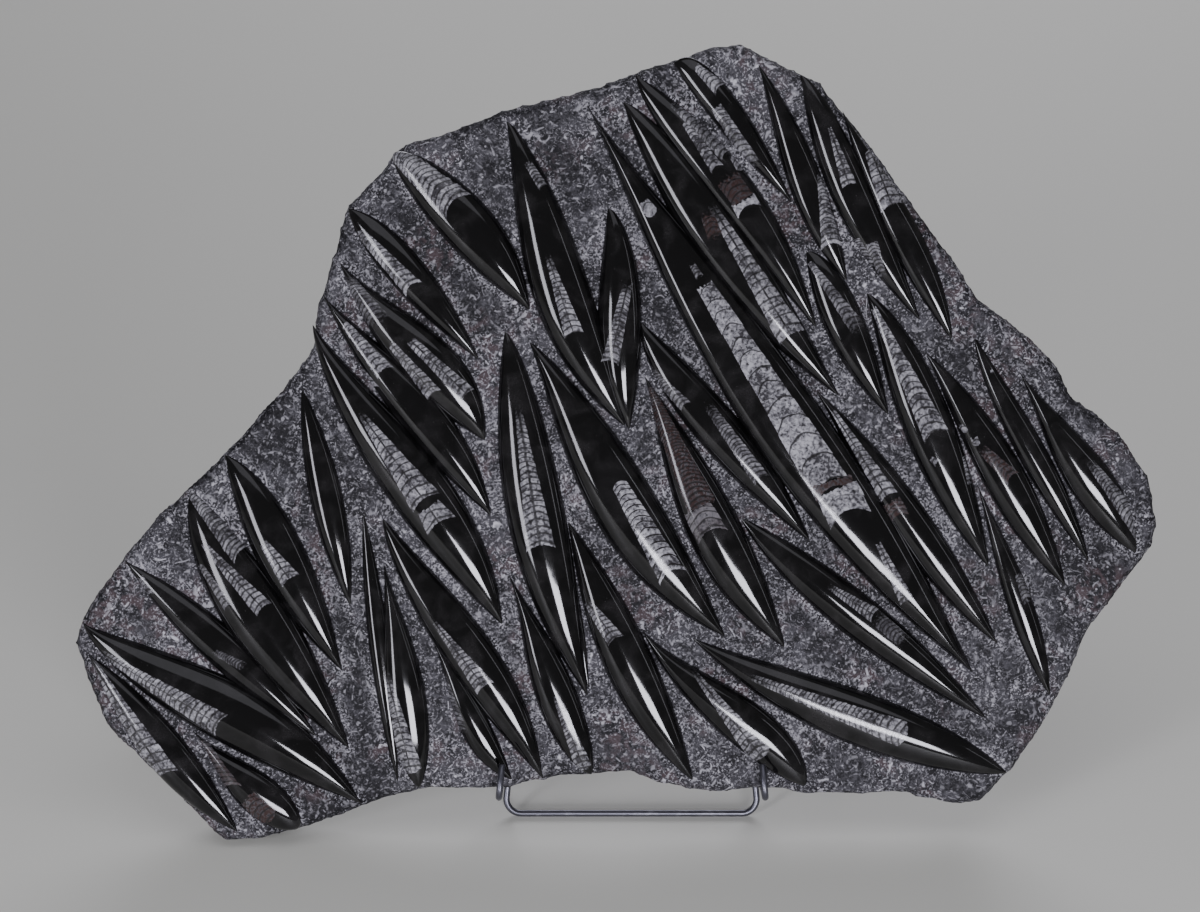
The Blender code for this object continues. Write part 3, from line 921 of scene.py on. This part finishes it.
@dataclass
class Slab:
    """The limestone slab: rough ground, broken sides, flat back."""

    chamfer: float = 5.0 * MM
    taper: float = 12.0 * MM
    voxel: float = 2.6 * MM
    chip: float = 2.4 * MM  # how deep the broken sides are bitten
    pit: float = 0.55 * MM  # how rough the ground is
    bites: float = 55.0  # swells to a metre of the broken sides
    facets: float = 120.0  # of their flat faces
    grit: float = 330.0  # of the ground's grit
    crush_width: float = 7.0  # of the crushed ground beside a ridge, in millimetres

    def block(self, top: float, bottom: float) -> bmesh.types.BMesh:
        """A block with the plate's outline, in the leaning plane's frame.

        Args:
            top: height where its broken edge starts.
            bottom: height of its back.

        Returns:
            The block, narrower towards the front edge and the back.
        """
        bm = bmesh.new()
        bmesh.ops.create_circle(bm, cap_ends=True, segments=len(RIM), radius=1.0)
        for vert, place in zip(list(bm.verts), reversed(RIM)):
            vert.co = (*PLATE.flat(*place), top)
        front = list(bm.faces)[0]
        made = bmesh.ops.extrude_face_region(bm, geom=[front])["geom"]
        for item in made:
            if isinstance(item, bmesh.types.BMVert):
                item.co.z = bottom
        back = next(item for item in made if isinstance(item, bmesh.types.BMFace))
        bmesh.ops.recalc_face_normals(bm, faces=bm.faces)
        bmesh.ops.inset_region(bm, faces=[front], thickness=self.chamfer, use_even_offset=True)
        for vert in front.verts:
            vert.co.z = top + self.chamfer
        self.draw_in(back, self.taper)
        return bm

    def draw_in(self, face: bmesh.types.BMFace, distance: float) -> None:
        """Move a flat face's corners inwards, square to its outline.

        Args:
            face: the face.
            distance: how far they move.
        """
        corners = [loop.vert for loop in face.loops]
        places = [corner.co.copy() for corner in corners]
        for index, corner in enumerate(corners):
            before = (places[index] - places[index - 1]).normalized()
            after = (places[(index + 1) % len(places)] - places[index]).normalized()
            corner.co += face.normal.cross((before + after).normalized()) * distance

    def roughen(self, mesh: bpy.types.Mesh) -> None:
        """Chisel the ground and break the sides.

        Args:
            mesh: the slab's mesh, whose points move.
        """
        normals = [vert.normal.copy() for vert in mesh.vertices]
        for vert, normal in zip(mesh.vertices, normals):
            place = vert.co
            level = (place.z - PLATE.back) / PLATE.thickness
            if normal.z < -0.8 or level < 0.03:
                continue
            side = 1.0 - min(max(normal.z, 0.0), 1.0)
            bite = noise.fractal(place * self.bites, 1.0, 2.0, 3, noise_basis="PERLIN_ORIGINAL")
            facet = abs(noise.noise(place * self.facets + Vector((7.0, 3.0, 1.0))))
            fine = noise.fractal(place * self.grit, 0.9, 2.1, 2, noise_basis="PERLIN_ORIGINAL")
            inward = self.chip * side * (0.35 + 0.5 * bite + 0.6 * facet)
            vert.co = place - normal * inward + normal * (self.pit * fine * (1.0 - 0.3 * side))

    def mark_crushed(self, mesh: bpy.types.Mesh) -> None:
        """Mark the ground beside the ridges, where the chisel has crushed it pale.

        Args:
            mesh: the slab's mesh, which gets an attribute.
        """
        shares = [0.0] * len(mesh.vertices)
        places = []
        for vert in mesh.vertices:
            if vert.normal.z > 0.5:
                places.append((vert.index, PLATE.spot(vert.co)))
        for ridge in RIDGES:
            left, right = sorted((ridge.upper[0], ridge.lower[0]))
            grown = max(ridge.left, ridge.right) + self.crush_width
            top, bottom = ridge.upper[1] - self.crush_width, ridge.lower[1] + self.crush_width
            for index, (across, down) in places:
                if left - grown < across < right + grown and top < down < bottom:
                    share = 1.0 - ridge.gap((across, down)) / self.crush_width
                    shares[index] = max(shares[index], min(share, 1.0))
        layer = mesh.attributes.new(RoughStone.crush, "FLOAT", "POINT")
        layer.data.foreach_set("value", shares)

    def build(self) -> bpy.types.Object:
        """Make the slab and give it its finish.

        Returns:
            The slab.
        """
        bm = self.block(PLATE.ground - self.chamfer, PLATE.back)
        piece = add_mesh(bm, "stone_slab", RoughStone().material())
        remesh = piece.modifiers.new("grain", "REMESH")
        remesh.mode = "VOXEL"
        remesh.voxel_size = self.voxel
        bake_modifiers(piece)
        self.mark_crushed(piece.data)
        self.roughen(piece.data)
        PLATE.settle(piece)
        drop_in(piece, "fossil_plate")
        return piece


@dataclass
class RidgeField:
    """The polished ridges, one piece each, standing in the slab's ground."""

    rise: float = 0.30  # height for a width
    tallest: float = 13.0 * MM
    sink: float = 1.2 * MM
    root: float = 0.9 * MM  # how far the lower half goes on below the sink line
    around: int = 32
    stations: int = 56

    def shape(self, bm: bmesh.types.BMesh, ridge: Ridge) -> None:
        """Bend a unit sphere, poles at the tips, into a ridge with its own two edges.

        Args:
            bm: the sphere.
            ridge: the ridge's plan.
        """
        upper = PLATE.flat(*ridge.upper)
        chord = PLATE.flat(*ridge.lower) - upper
        to_right = Vector((-chord.y, chord.x)).normalized()
        crest = min(self.rise * (ridge.right + ridge.left) * MM, self.tallest)
        for vert in bm.verts:
            along = 0.5 - 0.5 * vert.co.z
            turn = vert.co.x / math.sqrt(max(1.0 - vert.co.z ** 2, 1e-12))
            right = ridge.right * MM * ridge.bulge(along, ridge.right_peak)
            left = ridge.left * MM * ridge.bulge(along, ridge.left_peak)
            side = (right - left) / 2.0 + (right + left) / 2.0 * turn
            tall = (crest + self.sink) * ridge.bulge(along, 0.5) ** ridge.crest_point
            power = 2.0 + ridge.flat_top * (ridge.bulge(along, 0.5) ** 2 - 0.25)
            lift = (1.0 - min(abs(turn), 1.0) ** power) ** (1.0 / power)
            lift *= 1.0 - ridge.high_left * turn
            lift *= tall if vert.co.y > 0.0 else -min(tall, self.root + tall * 0.2)
            place = upper + chord * along + to_right * side
            vert.co = (place.x, place.y, PLATE.ground - self.sink + lift)

    def build(self) -> list[bpy.types.Object]:
        """Make every ridge and give it the shells that it cuts through.

        Returns:
            The ridges' objects.
        """
        finish = PolishedStone()
        pieces = []
        for index, ridge in enumerate(RIDGES, start=1):
            name = f"ridge_{index:02d}"
            bm = bmesh.new()
            bmesh.ops.create_uvsphere(
                bm, u_segments=self.around, v_segments=self.stations, radius=1.0
            )
            self.shape(bm, ridge)
            shells = [shell for shell in SHELLS if ridge.holds(shell)]
            piece = add_mesh(bm, name, finish.material(name, shells))
            PLATE.settle(piece)
            drop_in(piece, "fossil_plate")
            pieces.append(piece)
        return pieces


# ---- the easel


@dataclass
class Easel:
    """The bent wire easel: a front loop, two hooks and a rear leg, welded together."""

    radius: float = 2.0 * MM
    gap: float = 0.3 * MM
    bar_length: float = 155.0 * MM
    frame_height: float = 285.0 * MM
    top_width: float = 96.0 * MM
    lower_bend: float = 9.0 * MM
    top_bend: float = 40.0 * MM
    arm_height: float = 17.2 * MM
    hook_weld: float = 26.0 * MM
    hook_bend: float = 6.0 * MM
    hook_reach: float = 46.0 * MM
    prong: float = 21.0 * MM
    foot_width: float = 200.0 * MM
    leg_spread: float = 78.0 * MM
    leg_weld: float = 34.0 * MM  # below the loop's top
    leg_bend: float = 18.0 * MM
    bend_steps: int = 12
    bead: float = 2.6 * MM  # radius of a weld bead

    def half_width(self, height: float) -> float:
        """Half the front loop's width at a height along its slope."""
        narrowing = (self.bar_length - self.top_width) / 2.0
        return self.bar_length / 2.0 - narrowing * height / self.frame_height

    def bend(self, corner: Vector, before: Vector, after: Vector, radius: float) -> list[Vector]:
        """Points on the arc that rounds one corner.

        Args:
            corner: the corner.
            before: the corner ahead of it.
            after: the corner past it.
            radius: the bend's radius.

        Returns:
            The arc's points.
        """
        way_in = (before - corner).normalized()
        way_out = (after - corner).normalized()
        half = way_in.angle(way_out) / 2.0
        middle = corner + (way_in + way_out).normalized() * radius / math.sin(half)
        start = corner + way_in * radius / math.tan(half) - middle
        end = corner + way_out * radius / math.tan(half) - middle
        first, last = start.normalized(), end.normalized()
        shares = [step / self.bend_steps for step in range(self.bend_steps + 1)]
        return [middle + first.slerp(last, share) * start.length for share in shares]

    def route(self, corners: list, closed: bool) -> list[Vector]:
        """A wire's middle line.

        Args:
            corners: its corners, each a place and the radius of its bend.
            closed: whether it is a loop.

        Returns:
            The line's points.
        """
        points = []
        for index, (corner, radius) in enumerate(corners):
            if not closed and index in (0, len(corners) - 1):
                points.append(corner)
                continue
            after = corners[(index + 1) % len(corners)][0]
            points.extend(self.bend(corner, corners[index - 1][0], after, radius))
        return points

    def wire(
        self, name: str, corners: list, beads: list, closed: bool = False
    ) -> bpy.types.Object:
        """A round wire with its weld beads, as one piece that replaces the node of its name.

        Args:
            name: the node's name.
            corners: places in the room and the radius of each bend.
            beads: weld beads, each a place and the direction that it is drawn out in.
            closed: whether the wire is a loop.

        Returns:
            The piece.
        """
        curve = bpy.data.curves.new(name, "CURVE")
        curve.dimensions = "3D"
        curve.bevel_depth = self.radius
        curve.bevel_resolution = 6
        curve.use_fill_caps = True
        points = self.route(corners, closed)
        spline = curve.splines.new("POLY")
        spline.points.add(len(points) - 1)
        for point, place in zip(spline.points, points):
            point.co = (*place, 1.0)
        spline.use_cyclic_u = closed
        drawn = bpy.data.objects.new("drawn wire", curve)
        bm = bmesh.new()
        bm.from_mesh(drawn.to_mesh())
        bpy.data.objects.remove(drawn, do_unlink=True)
        bmesh.ops.remove_doubles(bm, verts=bm.verts, dist=1e-6)
        for place, along in beads:
            made = bmesh.ops.create_uvsphere(bm, u_segments=16, v_segments=10, radius=self.bead)
            for vert in made["verts"]:
                lump = noise.noise(vert.co * 700.0 + place * 90.0) * 0.25
                vert.co = place + vert.co * (0.78 + lump) + along * (vert.co.dot(along) * 1.6)
        for vert in bm.verts:
            vert.co.z = max(vert.co.z, 0.0)
        piece = add_mesh(bm, f"{name}_wire", PaintedWire().material())
        drop_in(piece, name)
        return piece

    def loop_corners(self) -> list:
        """The front loop's corners: bottom bar, two rising sides and a round top.

        Returns:
            Places in the room, each with the radius of its bend.
        """
        wide, narrow = self.bar_length / 2.0, self.top_width / 2.0
        return [
            (PLATE.lift(-wide, 0.0, 0.0), self.lower_bend),
            (PLATE.lift(wide, 0.0, 0.0), self.lower_bend),
            (PLATE.lift(narrow, self.frame_height, 0.0), self.top_bend),
            (PLATE.lift(-narrow, self.frame_height, 0.0), self.top_bend),
        ]

    def hook(self, name: str, side: float) -> bpy.types.Object:
        """A hook: up the loop's outer side, forward under the plate, and up in front of it.

        Args:
            name: the node's name.
            side: -1 for the left one, 1 for the right one.

        Returns:
            The piece.
        """
        beside = 2.0 * self.radius + self.gap
        heights = [
            (self.arm_height + self.hook_weld, 0.0, 0.0),
            (self.arm_height, 0.0, self.hook_bend),
            (self.arm_height, self.hook_reach, self.hook_bend),
            (self.arm_height + self.prong, self.hook_reach, 0.0),
        ]
        corners = []
        for height, forward, radius in heights:
            across = side * (self.half_width(height) + beside)
            corners.append((PLATE.lift(across, height, forward), radius))
        beads = []
        for share in (0.35, 0.85):
            height = self.arm_height + self.hook_weld * share
            across = side * (self.half_width(height) + beside / 2.0)
            beads.append((PLATE.lift(across, height, 0.0), PLATE.up))
        return self.wire(name, corners, beads)

    def leg(self) -> bpy.types.Object:
        """The rear leg: a U of wire, welded behind the loop's sides near its top.

        Returns:
            The piece.
        """
        height = self.frame_height - self.leg_weld
        behind = 2.0 * self.radius + self.gap
        middle = PLATE.lift(0.0, 0.0, 0.0)
        weld = PLATE.lift(self.half_width(height), height, -behind)
        foot = Vector((middle.x + self.foot_width / 2.0, weld.y + self.leg_spread, middle.z))
        other = [Vector((2.0 * middle.x - place.x, place.y, place.z)) for place in (weld, foot)]
        corners = [(weld, 0.0), (foot, self.leg_bend), (other[1], self.leg_bend), (other[0], 0.0)]
        beads = []
        for side in (-1.0, 1.0):
            place = PLATE.lift(side * self.half_width(height), height, -behind / 2.0)
            beads.append((place, PLATE.up))
        return self.wire("back_leg", corners, beads)

    def build(self) -> list[bpy.types.Object]:
        """The four wires."""
        loop = self.wire("front_frame", self.loop_corners(), [], closed=True)
        return [loop, self.hook("left_hook", -1.0), self.hook("right_hook", 1.0), self.leg()]


# ---- the studio


@dataclass
class Studio:
    """A pale floor, soft lamps and the camera."""

    floor_size: float = 9.0
    aim: Place = (318.2, 248.5)  # what the camera looks at, on the plate
    height_angle: float = math.radians(30.0)
    distance: float = 2.2
    field: float = 0.717  # width of the view at the plate
    sensor: float = 36.0
    cool: Colour = (0.91, 0.905, 1.0)
    all_round: float = 0.12  # strength of the light from all sides

    def floor(self) -> bpy.types.Object:
        """The pale floor that the easel stands on.

        Returns:
            The floor.
        """
        bm = bmesh.new()
        bmesh.ops.create_grid(bm, x_segments=2, y_segments=2, size=self.floor_size / 2.0)
        piece = add_mesh(bm, "pale_floor", PaleFloor().material(), smooth=False)
        return piece

    def target(self) -> Vector:
        """The place on the plate that the camera looks at."""
        flat = PLATE.flat(*self.aim)
        return PLATE.lift(flat.x, flat.y, PLATE.ground)

    def camera(self) -> bpy.types.Object:
        """The camera, square to the plate from side to side and above it.

        Returns:
            The camera.
        """
        data = bpy.data.cameras.new("camera")
        data.sensor_width = self.sensor
        data.lens = self.sensor * self.distance / self.field
        data.clip_start = 0.05
        piece = put_in_scene(bpy.data.objects.new("camera", data))
        back = Vector((0.0, -math.cos(self.height_angle), math.sin(self.height_angle)))
        piece.location = self.target() + back * self.distance
        piece.rotation_euler = (-back).to_track_quat("-Z", "Y").to_euler()
        bpy.context.scene.camera = piece
        return piece

    def lamp(self, name: str, place: tuple, size: Place, power: float) -> bpy.types.Object:
        """A soft rectangular lamp turned towards the plate.

        Args:
            name: the lamp's name.
            place: where it hangs.
            size: its width and height.
            power: watts.

        Returns:
            The lamp.
        """
        data = bpy.data.lights.new(name, "AREA")
        data.shape = "RECTANGLE"
        data.size, data.size_y = size
        data.energy = power
        data.color = self.cool
        piece = put_in_scene(bpy.data.objects.new(name, data))
        piece.location = place
        aim = self.target() - Vector(place)
        piece.rotation_euler = aim.to_track_quat("-Z", "Y").to_euler()
        return piece

    def surroundings(self) -> None:
        """Even, modest light from all round."""
        world = bpy.data.worlds.new("studio")
        bpy.context.scene.world = world
        world.use_nodes = True
        background = world.node_tree.nodes["Background"]
        background.inputs["Color"].default_value = (1.0, 1.0, 1.0, 1.0)
        background.inputs["Strength"].default_value = self.all_round

    def build(self) -> None:
        """Set up floor, camera and lamps."""
        self.floor()
        self.camera()
        self.lamp("left strip", (-1.25, -1.48, 0.60), (0.36, 0.90), 16.0)
        self.lamp("front box", (0.34, -1.95, 0.46), (0.72, 0.36), 32.0)
        self.lamp("overhead softbox", (0.25, -0.6, 2.4), (2.2, 1.5), 11.0)
        self.lamp("right strip", (1.75, -0.75, 1.0), (0.08, 1.2), 1.2)
        self.lamp("rear softbox", (0.30, 2.3, 1.5), (2.0, 1.0), 30.0)
        self.surroundings()


def main() -> None:
    """Build the slab, its ridges, the easel and the studio."""
    logging.basicConfig(level=logging.INFO, format="%(name)s: %(message)s")
    for piece in (Slab().build(), *RidgeField().build(), *Easel().build()):
        nodes = len(piece.data.materials[0].node_tree.nodes)
        LOG.info("%s: %d faces, %d shader nodes", piece.name, len(piece.data.polygons), nodes)
    Studio().build()


if __name__ == "__main__":
    main()
